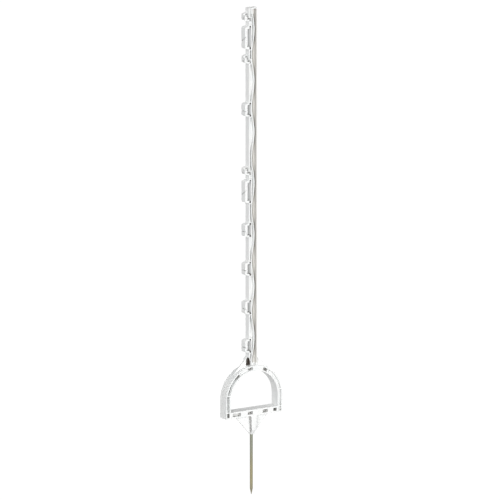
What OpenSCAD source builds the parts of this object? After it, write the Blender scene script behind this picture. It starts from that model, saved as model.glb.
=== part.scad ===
// Step-in fence post, in millimetres.
// A white moulded post with clips along one side and a stirrup to tread on,
// and a steel ground spike that is moulded into its foot.
// Z is up. The origin is on the spike's axis, at the shoulder where the plastic ends.
// The stirrup lies in the XZ plane, the clips stand on the -X side, and -Y is the front.

/* [Shaft] */
// Width of the shaft over both flanges
shaft_w = 30; // [27:1:36]
// Depth of the shaft from front to back
shaft_d = 20; // [17:1:24]
// Length of the shaft above the stirrup
shaft_len = 1141; // [1040:1:1400]
// Thickness of each flange
flange_t = 4; // [3:0.5:5]
// Thickness of the web between the flanges
web_t = 3; // [2:0.5:4]
// Thickness of the wavy rib
rib_t = 2.8; // [2:0.2:3.4]
// How far the wavy rib swings to each side
rib_swing = 4.8; // [3:0.2:6]
// Length of one wave of the rib
rib_wave = 164; // [120:1:220]
// Thickness of the plate that closes the top of the shaft
cap_t = 3; // [2:0.5:5]
// Diameter of the round socket in the top
socket_bore = 15; // [9:0.5:15]
// Depth of the round socket in the top
socket_depth = 16; // [8:1:24]

/* [Clips] */
// Depth of the clips from front to back
clip_d = 22; // [20:1:26]
// How far the clips stand out from the flange
clip_reach = 14.5; // [12:0.5:18]
// Thickness of a clip's outer plate
plate_t = 6; // [4:0.5:7]
// Thickness of the arms of a wire clip, and of a rope hook's lower arm
arm_t = 6; // [4:0.5:7]
// Thickness of the arms of a tape clip
tape_arm_t = 8.5; // [6:0.5:10]
// Thickness of a rope hook's upper arm
hook_arm_t = 3; // [2:0.5:4]
// How far an arm falls towards its outer corner
arm_fall = 2.5; // [0:0.5:4]
// How far a clip's eye reaches into the shaft
eye_inset = 7.5; // [5:0.5:8]
// Thickness of the wall behind an eye
eye_wall = 3; // [2:0.5:4]
// Width of the nooks that run on from an eye's ends, inside the shaft
nook_w = 5.3; // [4:0.1:5.5]
// Height of a wire clip
wire_h = 44; // [38:1:52]
// Height of a tape clip
tape_h = 74; // [66:1:84]
// Height of a rope hook
rope_h = 27; // [24:1:32]
// Width of the slit in a wire clip or a tape clip
slit_w = 2; // [1.6:0.2:3]
// Width of the slanting gap between a rope hook's fingers
slot_w = 7; // [5:0.5:8]
// How far the barb of a wire clip stands into the eye
barb_w = 3.5; // [2:0.5:5]

/* [Clip places] */
// Height of the first wire clip above the stirrup
first_clip = 63; // [56:1:80]
// Distance between the lower clips
clip_pitch = 123.5; // [110:0.5:130]
// Number of wire clips below the lower tape clip
lower_clips = 4; // [1:1:4]
// Distance between a tape clip and the rope hook above it
hook_gap = 66; // [62:1:72]
// Distance between the upper tape clip and the rope hook below it
hook_drop = 68.5; // [62:0.5:80]
// Distance of the upper tape clip below the top of the shaft
tape_drop = 94; // [90:1:110]
// Distance of the upper wire clip below the top of the shaft
wire_drop = 323; // [250:1:340]

/* [Stirrup] */
// Outer width of the stirrup
stirrup_w = 206; // [190:2:230]
// Depth of the stirrup from front to back
stirrup_d = 36; // [30:1:44]
// Thickness of the stirrup's bow
bow_t = 17; // [15:0.5:20]
// Length of the straight legs under the bow, with the tread
leg_len = 57.5; // [50:0.5:80]
// Height of the tread
tread_h = 20; // [17:0.5:24]
// Thickness of the walls beside the recess in the bow
rim_t = 4; // [3:0.5:5]
// Depth of the deep recesses in the stirrup
deep_cut = 14; // [9:0.5:14.5]
// Depth of the shallow recesses in the stirrup
shallow_cut = 6; // [3:0.5:8]
// Depth of the grip grooves along the outside of the bow
groove_cut = 1; // [0.4:0.1:2]
// Width of each grip groove
groove_w = 4; // [2:0.5:5]

/* [Gussets] */
// Thickness of the gusset plates
gusset_t = 5; // [3:0.5:6]
// Height of the upper gussets on the shaft
gusset_h = 29; // [20:1:34]
// Half width of the lower gusset under the tread
gusset_reach = 62; // [40:1:75]

/* [Spike] */
// Diameter of the spike
spike_bore = 9.5; // [8:0.5:11]
// Width of the shoulder where the spike enters the plastic
shoulder_w = 0.5; // [0.3:0.1:1]
// Length of the spike below the shoulder
spike_len = 195; // [150:1:260]
// Length of the spike's point
point_len = 20; // [12:1:30]
// Diameter of the blunt end of the point
point_end = 1; // [0.5:0.5:2]
// Height of the boss between the shoulder and the tread
boss_h = 62.5; // [45:0.5:80]
// Thickness of the boss's wall at the shoulder
boss_wall = 1; // [0.8:0.1:2]
// Width of the boss under the tread
boss_w = 21; // [16:1:26]
// Depth of the boss under the tread
boss_d = 34; // [28:1:35]
// Height of the boss's nose, which tapers more steeply
nose_h = 15; // [10:1:24]
// Depth of the boss at the top of its nose
nose_d = 29; // [22:1:32]
// How far the spike reaches up into the tread
spike_grip = 8; // [4:0.5:12]

/* [Hidden] */
$fn = 64;
white = [0.95, 0.95, 0.94];
plated = [0.66, 0.62, 0.46];
lap = 1;
arc_steps = 5;
bow_sides = 128;
root_bore = spike_bore - 2 * shoulder_w;
bow_r = stirrup_w / 2;
hole_r = bow_r - bow_t;
tread_z = boss_h;
tread_top = tread_z + tread_h;
root_top = tread_z + spike_grip;
bow_z = tread_z + leg_len;
bow_top = bow_z + bow_r;
shaft_top = bow_top + shaft_len;
flange_x = shaft_w / 2;
eye_x = flange_x - eye_inset;
plate_x = flange_x + clip_reach;
corner_r = min(5, plate_t);
eye_corner = corner_r - 1;
rope_corner = corner_r - 1.5;
lower_row = [for (i = [0:lower_clips - 1]) bow_top + first_clip + i * clip_pitch];
wire_clips = concat(lower_row, [shaft_top - wire_drop]);
tape_clips = [bow_top + first_clip + lower_clips * clip_pitch, shaft_top - tape_drop];
rope_hooks = [tape_clips[0] + hook_gap, tape_clips[1] - hook_drop, tape_clips[1] + hook_gap];

// Points of an arc in the plane, from angle a0 to angle a1
function on_circle(cx, cz, r, a) = [cx + r * cos(a), cz + r * sin(a)];
function arc(cx, cz, r, a0, a1) =
    [for (i = [0:arc_steps]) on_circle(cx, cz, r, a0 + (a1 - a0) * i / arc_steps)];

// Stands an outline up in the XZ plane, with its depth shared about Y = 0
module upright(depth) {
    rotate([90, 0, 0]) linear_extrude(height = depth, center = true) children();
}

// A box given by its corners
module block(x0, x1, y0, y1, z0, z1) {
    translate([x0, y0, z0]) cube([x1 - x0, y1 - y0, z1 - z0]);
}

// The wavy rib: one wall that swings from side to side and stands out of both faces of the web
rib_low = bow_top - lap;
rib_high = shaft_top - cap_t / 2;
steps_in_wave = 14;
rib_steps = ceil((rib_high - rib_low) / rib_wave * steps_in_wave);
first_crest = bow_top + 6;
function rib_z(i) = rib_low + (rib_high - rib_low) * i / rib_steps;
function rib_x(z) = -rib_swing * cos(360 * (z - first_crest) / rib_wave);
function rib_side(dx) = [for (i = [0:rib_steps]) [rib_x(rib_z(i)) + dx, rib_z(i)]];
function flipped(points) = [for (i = [len(points) - 1:-1:0]) points[i]];

module wavy_rib() {
    upright(shaft_d - lap) polygon(concat(rib_side(-rib_t / 2), flipped(rib_side(rib_t / 2))));
}

// Two flanges and the web between them, closed by a plate at the top
module shaft() {
    foot = bow_top - bow_t / 2;
    block(-flange_x, -flange_x + flange_t, -shaft_d / 2, shaft_d / 2, foot, shaft_top);
    block(flange_x - flange_t, flange_x, -shaft_d / 2, shaft_d / 2, foot, shaft_top);
    block(-flange_x + flange_t / 2, flange_x - flange_t / 2, -web_t / 2, web_t / 2, foot, shaft_top);
    block(-flange_x, flange_x, -shaft_d / 2, shaft_d / 2, shaft_top - cap_t, shaft_top);
    translate([0, 0, shaft_top - socket_depth - cap_t])
        cylinder(d = shaft_d - lap, h = socket_depth + cap_t);
}

// Outside of a clip: two arms that fall a little towards the plate, with round corners
module clip_outside(h) {
    top = h / 2 - arm_fall - corner_r;
    side = corner_r - plate_x;
    upright(clip_d) polygon(concat(
        [[-flange_x + flange_t / 2, h / 2], [-flange_x, h / 2]],
        arc(side, top, corner_r, 90, 180), arc(side, -top, corner_r, 180, 270),
        [[-flange_x, -h / 2], [-flange_x + flange_t / 2, -h / 2]]));
}

// Block that carries the wall behind an eye, inside the shaft
module clip_root(z0, z1) {
    block(-flange_x, eye_wall - eye_x, -shaft_d / 2, shaft_d / 2, z0, z1);
}

// How far the nooks run past a clip's ends, and the radius of their corners
nook_over = 0.5;
nook_r = 2.2;

// A clip whose eye reaches into the shaft
module eye_clip(h) {
    end = h / 2 + nook_over + eye_wall;
    clip_outside(h);
    clip_root(-end, end);
}

// The eye itself, right through from front to back, with a nook inside the shaft at each end
module eye(h, arm) {
    left = plate_t - plate_x + eye_corner;
    nook = nook_r - eye_x - nook_w;
    right = -eye_x - nook_r;
    top = h / 2 - arm;
    end = h / 2 + nook_over - nook_r;
    upright(clip_d + 2 * lap) polygon(concat(
        arc(left, eye_corner - top, eye_corner, 180, 270), [[nook - nook_r, -top]],
        arc(nook, -end, nook_r, 180, 270), arc(right, -end, nook_r, 270, 360),
        arc(right, end, nook_r, 0, 90), arc(nook, end, nook_r, 90, 180),
        [[nook - nook_r, top]], arc(left, top - eye_corner, eye_corner, 90, 180)));
}

// A slit that cuts through the outer plate only, falling by the given height towards the back
tape_slit_z = -5;
tape_slit_fall = 17;
module slit(width, fall) {
    tilt = atan(fall / clip_d);
    translate([-plate_x - lap, 0, 0]) rotate([-tilt, 0, 0])
        translate([0, -clip_d, -width / 2]) cube([plate_t + 2 * lap, 2 * clip_d, width]);
}

// The barb above the slit of a wire clip: it stands into the eye and fades upwards
wire_slit_z = -3.5;
barb_flat = 1.5;
barb_fade = 16;
module wire_clip_barb() {
    inner = plate_t - plate_x;
    tip = inner + barb_w;
    low = wire_slit_z + slit_w / 2;
    upright(clip_d) polygon([
        [inner - lap, low], [tip, low], [tip, low + barb_flat], [inner - lap / 4, low + barb_fade]]);
}

// A rope hook: a clip whose eye ends at the flange, with a seat at its foot that dips into the shaft
seat_over = 4.5;
rope_low = arm_t - rope_h / 2;
rope_top = rope_h / 2 - hook_arm_t;
module rope_hook() {
    clip_outside(rope_h);
    clip_root(-rope_h / 2 - nook_over - eye_wall, rope_low + seat_over + eye_wall);
}

module rope_eye() {
    left = plate_t - plate_x + rope_corner;
    nook = nook_r - eye_x - nook_w;
    right = -eye_x - nook_r;
    end = nook_r - nook_over - rope_h / 2;
    seat_top = rope_low + seat_over;
    upright(clip_d + 2 * lap) polygon(concat(
        arc(left, rope_low + rope_corner, rope_corner, 180, 270), [[nook - nook_r, rope_low]],
        arc(nook, end, nook_r, 180, 270), arc(right, end, nook_r, 270, 360),
        arc(right, seat_top - nook_r, nook_r, 0, 90), [[-flange_x, seat_top], [-flange_x, rope_top]],
        arc(left, rope_top - rope_corner, rope_corner, 90, 180)));
}

// The gap between a rope hook's two fingers. The lower arm keeps its front half, which carries the front
// finger, and the upper arm keeps its back half, which carries the back finger: a slanted rope slips in.
front_gap = 4;
slot_inset = 2;
slot_foot = 2.5;
module rope_slot() {
    half = slot_w / 2;
    front = -clip_d / 2;
    top_y = front + slot_inset + half;
    end = rope_h / 2 + lap;
    translate([-plate_x - lap, 0, 0]) rotate([90, 0, 90]) linear_extrude(height = plate_t + 2 * lap) polygon([
        [top_y - half, end], [slot_foot - half, -end], [slot_foot + half, -end], [top_y + half, end]]);
    block(-plate_x - lap, -flange_x, front - lap, top_y + half, rope_top - front_gap, end);
    block(plate_t - plate_x + lap / 2, -flange_x, slot_foot - half, lap - front, -end, rope_low + lap / 2);
}

// Outer form of the stirrup: a half round bow on two legs with the tread across
module stirrup_outside() {
    half_d = stirrup_d / 2;
    intersection() {
        translate([0, 0, bow_z]) rotate([90, 0, 0])
            cylinder(r = bow_r, h = stirrup_d, center = true, $fn = bow_sides);
        block(-bow_r - lap, bow_r + lap, -half_d, half_d, bow_z - lap, bow_top + lap);
    }
    block(-bow_r, bow_r, -half_d, half_d, tread_z, bow_z);
}

// Opening inside the stirrup, above the tread
module stirrup_opening() {
    half_d = stirrup_d / 2 + lap;
    intersection() {
        translate([0, 0, bow_z]) rotate([90, 0, 0])
            cylinder(r = hole_r, h = 2 * half_d, center = true, $fn = bow_sides);
        block(-bow_r, bow_r, -half_d, half_d, bow_z - lap / 2, bow_top);
    }
    block(-hole_r, hole_r, -half_d, half_d, tread_top, bow_z);
}

// Part of the recess along the front of the bow, between two angles above the +X side
module bow_cut(a0, a1, cut, rim) {
    translate([0, 0, bow_z]) rotate([90, 0, 0]) rotate([0, 0, a0])
        rotate_extrude(angle = a1 - a0, $fn = bow_sides)
            translate([hole_r + rim, stirrup_d / 2 - cut]) square([bow_t - 2 * rim, cut + lap]);
}

// A pocket in the front face, by its corners and its depth
module front_cut(x0, x1, z0, z1, cut) {
    block(x0, x1, -stirrup_d / 2 - lap, cut - stirrup_d / 2, z0, z1);
}

// Recesses of the bow: from angle, to angle, depth, and the rim left on each side
leg_rib_a = 10;
leg_rib_half = 1;
leg_rib_z = bow_z + (hole_r + bow_t / 2) * sin(leg_rib_a - leg_rib_half);
bow_recesses = [
    [leg_rib_a + leg_rib_half, 57, shallow_cut, rim_t],
    [60, 70, deep_cut, rim_t],
    [93, 122, shallow_cut, rim_t],
    [93.5, 102.5, deep_cut, rim_t + lap / 2],
    [124, 180 - leg_rib_a - leg_rib_half, deep_cut, rim_t]
];

// Centres and widths of the tread's pockets, as shares of half the stirrup's width
tread_pockets = [[-0.62, 0.29], [-0.14, 0.18], [0.39, 0.18], [0.74, 0.13]];
tread_rim = rim_t + 1;
corner_rib_w = 3.2;

// The recess of one leg, on both sides of the rib that runs on from the tread's top, up to the rib in the bow
module leg_recess(x0, x1, cut) {
    front_cut(x0, x1, tread_top + corner_rib_w / 2, leg_rib_z, cut);
    front_cut(x0, x1, tread_z + rim_t, tread_top - corner_rib_w / 2, cut);
}

module front_recesses() {
    leg_in = hole_r + rim_t;
    leg_out = bow_r - rim_t;
    for (c = bow_recesses)
        bow_cut(c[0], c[1], c[2], c[3]);
    leg_recess(-leg_out, -leg_in, deep_cut);
    leg_recess(leg_in, leg_out, shallow_cut);
    for (p = tread_pockets)
        front_cut(
            (p[0] - p[1] / 2) * bow_r, (p[0] + p[1] / 2) * bow_r,
            tread_z + tread_rim, tread_top - tread_rim, deep_cut);
}

// Grooves for grip along the outside of the bow and its legs
groove_places = [-0.67, 0.17, 0.78];
module grip_grooves() {
    for (y = groove_places * stirrup_d / 2) {
        translate([0, 0, bow_z]) rotate([90, 0, 0]) rotate_extrude(angle = 180, $fn = bow_sides)
            translate([bow_r - groove_cut, -y - groove_w / 2]) square([groove_cut + lap, groove_w]);
        for (side = [-1, 1])
            translate([side * bow_r, y, bow_z - leg_len / 2])
                cube([2 * groove_cut, groove_w, leg_len], center = true);
    }
}

// Upper gussets: a plate whose sloping edges run from the shaft to the bow, which they touch
gusset_top = bow_top + gusset_h;
gusset_far = norm([flange_x, gusset_top - bow_z]);
gusset_lean = atan(flange_x / (gusset_top - bow_z)) + acos(bow_r / gusset_far);
touch_x = bow_r * sin(gusset_lean);
touch_z = bow_z + bow_r * cos(gusset_lean);
function gusset_z(x) = gusset_top - (x - flange_x) * (gusset_top - touch_z) / (touch_x - flange_x);

module upper_gussets() {
    upright(gusset_t) polygon([
        [-flange_x, gusset_top], [-touch_x, touch_z], [-touch_x, bow_z],
        [touch_x, bow_z], [touch_x, touch_z], [flange_x, gusset_top]]);
}

// A box at the foot of the left flange, with a deep pocket that is open to the front
box_x = 23;
pocket_out = 21;
pocket_in = 7.3;
pocket_peak = 12;
pocket_rim = 4;
pocket_back = 3;
module foot_box() {
    low = bow_top - bow_t / 2;
    translate([0, shaft_d / 2, 0]) rotate([90, 0, 0])
        linear_extrude(height = shaft_d / 2 + gusset_t / 2) polygon([
            [-box_x, low], [-box_x, gusset_z(box_x)], [-flange_x, gusset_top],
            [-rib_swing, gusset_top], [-rib_swing, low]]);
}

module foot_pocket() {
    back = shaft_d / 2 - pocket_back;
    high = gusset_top - pocket_rim;
    translate([0, back, 0]) rotate([90, 0, 0]) linear_extrude(height = back + shaft_d / 2 + lap) polygon([
        [-pocket_out, bow_top], [-pocket_out, gusset_z(pocket_out) - pocket_rim], [-flange_x, high],
        [-pocket_peak, high], [-pocket_in, bow_top + gusset_h / 2], [-pocket_in, bow_top]]);
}

// Plate of the lower gusset
module lower_gusset() {
    foot_x = (spike_bore + boss_wall) / 2;
    upright(gusset_t) polygon([
        [-gusset_reach, tread_z + lap], [-foot_x, 0], [foot_x, 0], [gusset_reach, tread_z + lap]]);
}

// Tapered boss that holds the spike: it narrows evenly in width, and in depth it ends in a steeper nose
module boss() {
    foot = spike_bore / 2 + boss_wall;
    intersection() {
        upright(stirrup_d) polygon([
            [-boss_w / 2, tread_z + lap], [-boss_w / 2, tread_z], [-foot, 0],
            [foot, 0], [boss_w / 2, tread_z], [boss_w / 2, tread_z + lap]]);
        rotate([0, 0, 90]) upright(stirrup_d) polygon([
            [-boss_d / 2, tread_z + lap], [-boss_d / 2, tread_z], [-nose_d / 2, nose_h], [-foot, 0],
            [foot, 0], [nose_d / 2, nose_h], [boss_d / 2, tread_z], [boss_d / 2, tread_z + lap]]);
    }
}

module post() {
    color(white) difference() {
        union() {
            shaft();
            wavy_rib();
            for (z = wire_clips) translate([0, 0, z]) eye_clip(wire_h);
            for (z = tape_clips) translate([0, 0, z]) eye_clip(tape_h);
            for (z = rope_hooks) translate([0, 0, z]) rope_hook();
            stirrup_outside();
            upper_gussets();
            foot_box();
            lower_gusset();
            boss();
        }
        for (z = wire_clips) translate([0, 0, z]) difference() {
            union() {
                eye(wire_h, arm_t);
                translate([0, 0, wire_slit_z]) slit(slit_w, 0);
            }
            wire_clip_barb();
        }
        for (z = tape_clips) translate([0, 0, z]) {
            eye(tape_h, tape_arm_t);
            translate([0, 0, tape_slit_z]) slit(slit_w, tape_slit_fall);
        }
        for (z = rope_hooks) translate([0, 0, z]) {
            rope_eye();
            rope_slot();
        }
        translate([0, 0, shaft_top - socket_depth]) cylinder(d = socket_bore, h = socket_depth + lap);
        stirrup_opening();
        front_recesses();
        rotate([0, 0, 180]) front_recesses();
        grip_grooves();
        foot_pocket();
        translate([0, 0, -lap]) cylinder(d = root_bore, h = root_top + lap);
    }
}

// The spike: a thinner root inside the plastic, a round rod with a shoulder, and a long point
module spike() {
    color(plated) union() {
        translate([0, 0, -lap]) cylinder(d = root_bore, h = root_top + lap);
        translate([0, 0, point_len - spike_len]) cylinder(d = spike_bore, h = spike_len - point_len);
        translate([0, 0, -spike_len]) cylinder(d1 = point_end, d2 = spike_bore, h = point_len);
    }
}

post();
spike();
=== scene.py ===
import math

import bpy
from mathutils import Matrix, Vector

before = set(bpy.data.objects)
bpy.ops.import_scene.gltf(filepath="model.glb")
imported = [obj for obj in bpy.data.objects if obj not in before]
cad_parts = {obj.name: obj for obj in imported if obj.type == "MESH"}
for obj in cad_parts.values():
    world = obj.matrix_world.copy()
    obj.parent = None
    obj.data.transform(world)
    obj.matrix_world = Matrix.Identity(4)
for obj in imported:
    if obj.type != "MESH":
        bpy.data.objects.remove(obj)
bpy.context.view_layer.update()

# A step-in fence post: one white plastic moulding and a plated steel spike.
# The shapes come from the CAD frame. This script adds the materials, the light and the camera.
# Lengths are in metres, and the frame's origin is at the shoulder where the plastic ends.

# The photograph's view
IMAGE_PX = 500
AZIMUTH = math.radians(-32.0)
ELEVATION = math.radians(13.5)
METRES_PER_PX = 0.001 / 0.3214
AXIS_PX = 251.3
ORIGIN_PX = 434.3
LENS_MM = 1200.0
SENSOR_MM = 36.0

# Light: the sky's level, and the level that lifts the lit floor to white for the camera
SKY = 0.24
FLOOR_GLOW = 0.76

# Height of the spike's tip, where the floor lies
TIP_Z = -0.195

# The wavy rib, for placing the painted shade and shadow beside it: how far it stands out, how far it swings, a
# wave's length and the height of a crest on its left
RIB_OUT = 0.010
RIB_SWING = 0.0048
RIB_WAVE = 0.164
RIB_CREST = 0.229

# The eyes whose nooks get painted shade: the height of each one's middle, and half its height
EYES = (
    (0.286, 0.0225), (0.4095, 0.0225), (0.533, 0.0225), (0.6565, 0.0225), (1.041, 0.0225),
    (0.780, 0.0375), (1.270, 0.0375),
)

# The box of the deep pocket at the shaft's foot that is painted dark as shade: x, y and z
FOOT_POCKET = ((-0.0213, -0.0070), (-0.0099, 0.0073), (0.2225, 0.2490))


def make_camera():
    """A long lens at the photograph's angle, aimed so that the post's axis falls where the photograph has it."""
    right = Vector((math.cos(AZIMUTH), math.sin(AZIMUTH), 0.0))
    back = Vector((
        math.sin(AZIMUTH) * math.cos(ELEVATION),
        -math.cos(AZIMUTH) * math.cos(ELEVATION),
        math.sin(ELEVATION),
    ))
    middle = IMAGE_PX / 2
    height = (ORIGIN_PX - middle) * METRES_PER_PX / math.cos(ELEVATION)
    aim = Vector((0.0, 0.0, height)) - right * ((AXIS_PX - middle) * METRES_PER_PX)
    width = IMAGE_PX * METRES_PER_PX
    distance = width * LENS_MM / SENSOR_MM
    data = bpy.data.cameras.new("camera")
    data.lens = LENS_MM
    data.sensor_width = SENSOR_MM
    data.clip_start = 1.0
    data.clip_end = 400.0
    camera = bpy.data.objects.new("camera", data)
    bpy.context.scene.collection.objects.link(camera)
    camera.location = aim + back * distance
    camera.rotation_mode = "QUATERNION"
    camera.rotation_quaternion = (-back).to_track_quat("-Z", "Y")
    bpy.context.scene.camera = camera


class Nodes:
    """A short way to build a node tree."""

    def __init__(self, name, tree=None):
        if tree is None:
            self.material = bpy.data.materials.new(name)
            self.material.use_nodes = True
            tree = self.material.node_tree
        self.tree = tree
        self.tree.nodes.clear()

    def add(self, kind, values=None, **settings):
        node = self.tree.nodes.new(kind)
        for key, value in settings.items():
            setattr(node, key, value)
        for key, value in (values or {}).items():
            if isinstance(value, bpy.types.NodeSocket):
                self.tree.links.new(value, node.inputs[key])
            else:
                node.inputs[key].default_value = value
        return node

    def math(self, operation, a, b=0.0):
        return self.add("ShaderNodeMath", {0: a, 1: b}, operation=operation).outputs[0]

    def spread(self, value, low, high, to_low=0.0, to_high=1.0):
        """Maps low..high to to_low..to_high, clamped."""
        node = self.add("ShaderNodeMapRange", {
            "Value": value, "From Min": low, "From Max": high, "To Min": to_low, "To Max": to_high,
        })
        return node.outputs["Result"]

    def within(self, value, low, high, soft=0.0005):
        """One between low and high, falling to nothing just outside."""
        up = self.spread(value, low - soft, low)
        return self.math("MULTIPLY", up, self.spread(value, high, high + soft, 1.0, 0.0))

    def mix(self, share, a, b, blend="MIX"):
        node = self.add("ShaderNodeMix", data_type="RGBA", blend_type=blend)
        for socket, value in ((node.inputs[0], share), (node.inputs[6], a), (node.inputs[7], b)):
            if isinstance(value, bpy.types.NodeSocket):
                self.tree.links.new(value, socket)
            else:
                socket.default_value = value
        return node.outputs[2]

    def noise(self, vector, scale, detail=3.0, rough=0.5):
        node = self.add("ShaderNodeTexNoise", {
            "Vector": vector, "Scale": scale, "Detail": detail, "Roughness": rough,
        })
        return node.outputs["Fac"]

    def stretched(self, vector, x, y, z):
        node = self.add("ShaderNodeMapping", {"Vector": vector, "Scale": (x, y, z)})
        return node.outputs["Vector"]

    def surface(self, shader):
        self.add("ShaderNodeOutputMaterial", {"Surface": shader})
        return self.material


def white_plastic():
    """White moulded plastic: faint clouds in the white, soft edges and light scuffs, with painted shade in deep
    corners, in the shaft's right channel, on the boss's side and in the nooks and foot pocket, and a painted
    shadow beside the wavy rib.
    """
    n = Nodes("white_plastic")
    place = n.add("ShaderNodeTexCoord").outputs["Object"]
    clouds = n.noise(place, 22.0, 4.0)
    white = n.mix(n.spread(clouds, 0.35, 0.65), (0.875, 0.880, 0.873, 1), (0.840, 0.855, 0.853, 1))
    flow = n.noise(n.stretched(place, 60.0, 60.0, 7.0), 1.0, 3.0)
    white = n.mix(n.spread(flow, 0.55, 0.75, 0.0, 0.5), white, (0.840, 0.836, 0.815, 1))
    scuffs = n.noise(n.stretched(place, 420.0, 90.0, 420.0), 1.0, 2.0)
    white = n.mix(n.spread(scuffs, 0.66, 0.74, 0.0, 0.25), white, (0.70, 0.70, 0.68, 1))
    at = n.add("ShaderNodeSeparateXYZ", {"Vector": place}).outputs
    shaft = n.math("MULTIPLY", n.within(at["Z"], 0.230, 1.360), n.within(at["X"], -0.0150, 0.0150))
    turn = n.math("MULTIPLY", n.math("SUBTRACT", at["Z"], RIB_CREST), math.tau / RIB_WAVE)
    past_rib = n.math("ADD", at["X"], n.math("MULTIPLY", n.math("COSINE", turn), RIB_SWING))
    # Painted shade: the shaft's channel right of the wavy rib is tinted grey, standing in for the soft shade it
    # lies in.
    shaded_right_channel = n.math("MULTIPLY", n.spread(past_rib, 0.0012, 0.0018), shaft)
    white = n.mix(shaded_right_channel, white, (0.67, 0.66, 0.63, 1))
    # Painted shadow: a dark band where the rib's shadow falls on the channel to its right, reaching sideways 1.1
    # times the depth below the rib's front.
    sunk = n.math("SUBTRACT", RIB_OUT, n.math("ABSOLUTE", at["Y"]))
    reach = n.math("SUBTRACT", n.math("MULTIPLY", sunk, 1.1), past_rib)
    painted_rib_shadow = n.math("MULTIPLY", shaded_right_channel, n.spread(reach, -0.0018, 0.0002))
    white = n.mix(painted_rib_shadow, white, (0.42, 0.41, 0.38, 1))
    # Painted shade: the left-facing side of the boss under the tread is tinted grey, standing in for the shade
    # there.
    normal = n.add("ShaderNodeNewGeometry").outputs["True Normal"]
    facing = n.add("ShaderNodeSeparateXYZ", {"Vector": normal}).outputs["X"]
    painted_boss_shade = n.math("MULTIPLY", n.within(at["Z"], 0.0, 0.0618), n.within(at["Y"], -0.018, -0.0035))
    painted_boss_shade = n.math("MULTIPLY", painted_boss_shade, n.spread(facing, -0.8, -0.6, 1.0, 0.0))
    white = n.mix(painted_boss_shade, white, (0.50, 0.495, 0.485, 1))
    # Painted shade: corners that ambient occlusion finds deep are darkened, cut back to a tenth on the left bow
    # and in the left channel beside the rib, and partly in the right channel.
    corner = n.add("ShaderNodeAmbientOcclusion", {"Distance": 0.018}, samples=8).outputs["AO"]
    left_bow = n.math("MULTIPLY", n.spread(at["X"], -0.066, -0.062, 1.0, 0.0), n.spread(at["Z"], 0.082, 0.084))
    left_side = n.math("MULTIPLY", n.spread(past_rib, 0.0, 0.0010, 1.0, 0.0), n.spread(at["X"], -0.0078, -0.0070))
    corner_shade_cut = n.math("MAXIMUM", left_bow, n.math("MULTIPLY", left_side, shaft))
    corner_shade_cut = n.math("MAXIMUM", corner_shade_cut, n.math("MULTIPLY", shaded_right_channel, 0.8))
    share = n.spread(corner_shade_cut, 0.0, 1.0, 1.0, 0.1)
    painted_corner_shade = n.math("MULTIPLY", n.spread(corner, 0.05, 0.36, 1.0, 0.0), share)
    white = n.mix(painted_corner_shade, white, (0.32, 0.31, 0.29, 1))
    # Painted shade: the ends of the eyes' nooks, where ambient occlusion is strong, are painted nearly black.
    shade_in_hollows = n.spread(corner, 0.55, 0.75, 1.0, 0.0)
    painted_nook_shade = 0.0
    for height, half in EYES:
        away = n.math("ABSOLUTE", n.math("SUBTRACT", at["Z"], height))
        painted_nook_shade = n.math("MAXIMUM", painted_nook_shade, n.within(away, half - 0.0055, half + 0.0005))
    painted_nook_shade = n.math("MULTIPLY", painted_nook_shade, n.within(at["X"], -0.0133, -0.0070))
    white = n.mix(n.math("MULTIPLY", painted_nook_shade, shade_in_hollows), white, (0.10, 0.09, 0.08, 1))
    # Painted shade: the deep pocket at the shaft's foot is painted nearly black where ambient occlusion is
    # strong.
    painted_pocket_shade = 1.0
    for axis, (low, high) in zip("XYZ", FOOT_POCKET):
        painted_pocket_shade = n.math("MULTIPLY", n.within(at[axis], low, high), painted_pocket_shade)
    white = n.mix(n.math("MULTIPLY", painted_pocket_shade, shade_in_hollows), white, (0.075, 0.060, 0.048, 1))
    edge = n.add("ShaderNodeBevel", {"Radius": 0.0007}, samples=6).outputs["Normal"]
    grain = n.noise(place, 900.0, 2.0)
    waves = n.noise(place, 60.0, 2.0)
    bump = n.add("ShaderNodeBump", {
        "Strength": 0.10, "Distance": 0.0004, "Height": n.math("ADD", grain, waves), "Normal": edge,
    }).outputs["Normal"]
    shader = n.add("ShaderNodeBsdfPrincipled", {
        "Base Color": white,
        "Roughness": n.spread(clouds, 0.3, 0.7, 0.34, 0.46),
        "IOR": 1.49,
        "Normal": bump,
    }).outputs["BSDF"]
    return n.surface(shader)


def plated_steel():
    """Drawn steel rod with a yellow passivated plate: the tint runs along the rod, with fine drawn lines."""
    n = Nodes("plated_steel")
    place = n.add("ShaderNodeTexCoord").outputs["Object"]
    z = n.add("ShaderNodeSeparateXYZ", {"Vector": place}).outputs["Z"]
    patch = n.noise(n.stretched(place, 90.0, 90.0, 14.0), 1.0, 3.0)
    low = n.spread(z, -0.195, -0.150)
    high = n.spread(n.math("ADD", z, n.math("MULTIPLY", patch, 0.04)), -0.09, -0.02)
    tint = n.mix(low, (0.29, 0.27, 0.21, 1), (0.31, 0.28, 0.17, 1))
    tint = n.mix(high, tint, (0.25, 0.26, 0.21, 1))
    lines = n.noise(n.stretched(place, 900.0, 900.0, 6.0), 1.0, 2.0)
    tint = n.mix(n.spread(lines, 0.35, 0.65, 0.0, 0.35), tint, (0.15, 0.14, 0.09, 1))
    bump = n.add("ShaderNodeBump", {"Strength": 0.25, "Distance": 0.0002, "Height": lines}).outputs["Normal"]
    shader = n.add("ShaderNodeBsdfPrincipled", {
        "Base Color": tint,
        "Metallic": 0.8,
        "Roughness": n.spread(patch, 0.3, 0.7, 0.28, 0.42),
        "Normal": bump,
    }).outputs["BSDF"]
    return n.surface(shader)


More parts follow.
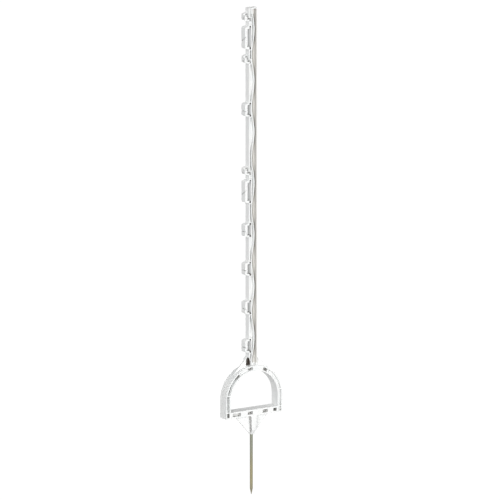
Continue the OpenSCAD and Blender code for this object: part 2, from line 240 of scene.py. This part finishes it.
def make_floor():
    """A pale floor under the spike's tip. It looks white, but darkens where the post keeps the light off it."""
    half = 60.0
    mesh = bpy.data.meshes.new("floor")
    corners = [(-half, -half, TIP_Z), (half, -half, TIP_Z), (half, half, TIP_Z), (-half, half, TIP_Z)]
    mesh.from_pydata(corners, [], [(0, 1, 2, 3)])
    floor = bpy.data.objects.new("floor", mesh)
    bpy.context.scene.collection.objects.link(floor)
    n = Nodes("floor")
    matte = n.add("ShaderNodeBsdfDiffuse", {"Color": (0.50, 0.50, 0.50, 1)}).outputs["BSDF"]
    shade = n.add("ShaderNodeBsdfDiffuse", {"Color": (0.50, 0.50, 0.50, 1)}).outputs["BSDF"]
    glow = n.add("ShaderNodeEmission", {"Strength": FLOOR_GLOW}).outputs["Emission"]
    seen = n.add("ShaderNodeAddShader", {0: shade, 1: glow}).outputs["Shader"]
    path = n.add("ShaderNodeLightPath").outputs
    straight = n.math("MAXIMUM", path["Is Camera Ray"], path["Is Glossy Ray"])
    straight = n.math("MAXIMUM", straight, path["Is Transmission Ray"])
    both = n.add("ShaderNodeMixShader", {"Fac": straight, 1: matte, 2: seen}).outputs["Shader"]
    mesh.materials.append(n.surface(both))


def make_world():
    """Plain studio surroundings: an even soft light that the camera and reflections see as white."""
    world = bpy.data.worlds.new("studio")
    bpy.context.scene.world = world
    world.use_nodes = True
    n = Nodes(None, world.node_tree)
    path = n.add("ShaderNodeLightPath").outputs
    straight = n.math("MAXIMUM", path["Is Camera Ray"], path["Is Glossy Ray"])
    straight = n.math("MAXIMUM", straight, path["Is Transmission Ray"])
    strength = n.spread(straight, 0.0, 1.0, SKY, 1.0)
    light = n.add("ShaderNodeBackground", {"Color": (1, 1, 1, 1), "Strength": strength}).outputs["Background"]
    n.add("ShaderNodeOutputWorld", {"Surface": light})


def make_sun(name, azimuth, elevation, level, spread_deg):
    """A soft sun from a direction in degrees; level is the share of full white on a surface that faces it."""
    across = math.cos(math.radians(elevation))
    towards = Vector((
        math.sin(math.radians(azimuth)) * across,
        -math.cos(math.radians(azimuth)) * across,
        math.sin(math.radians(elevation)),
    ))
    data = bpy.data.lights.new(name, "SUN")
    data.energy = level * math.pi
    data.angle = math.radians(spread_deg)
    sun = bpy.data.objects.new(name, data)
    bpy.context.scene.collection.objects.link(sun)
    sun.rotation_mode = "QUATERNION"
    sun.rotation_quaternion = towards.to_track_quat("Z", "Y")


make_camera()
make_world()
make_floor()
make_sun("key", 8.0, 12.0, 0.61, 24.0)
make_sun("left", -50.0, 14.0, 0.44, 20.0)
make_sun("side", -98.0, 34.0, 0.20, 40.0)

# Each CAD node keeps its shape and gets its finished material
finishes = {"post": white_plastic(), "spike": plated_steel()}
for node, material in finishes.items():
    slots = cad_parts[node].material_slots
    for slot in slots:
        slot.material = material

bpy.context.scene.view_settings.view_transform = "Standard"
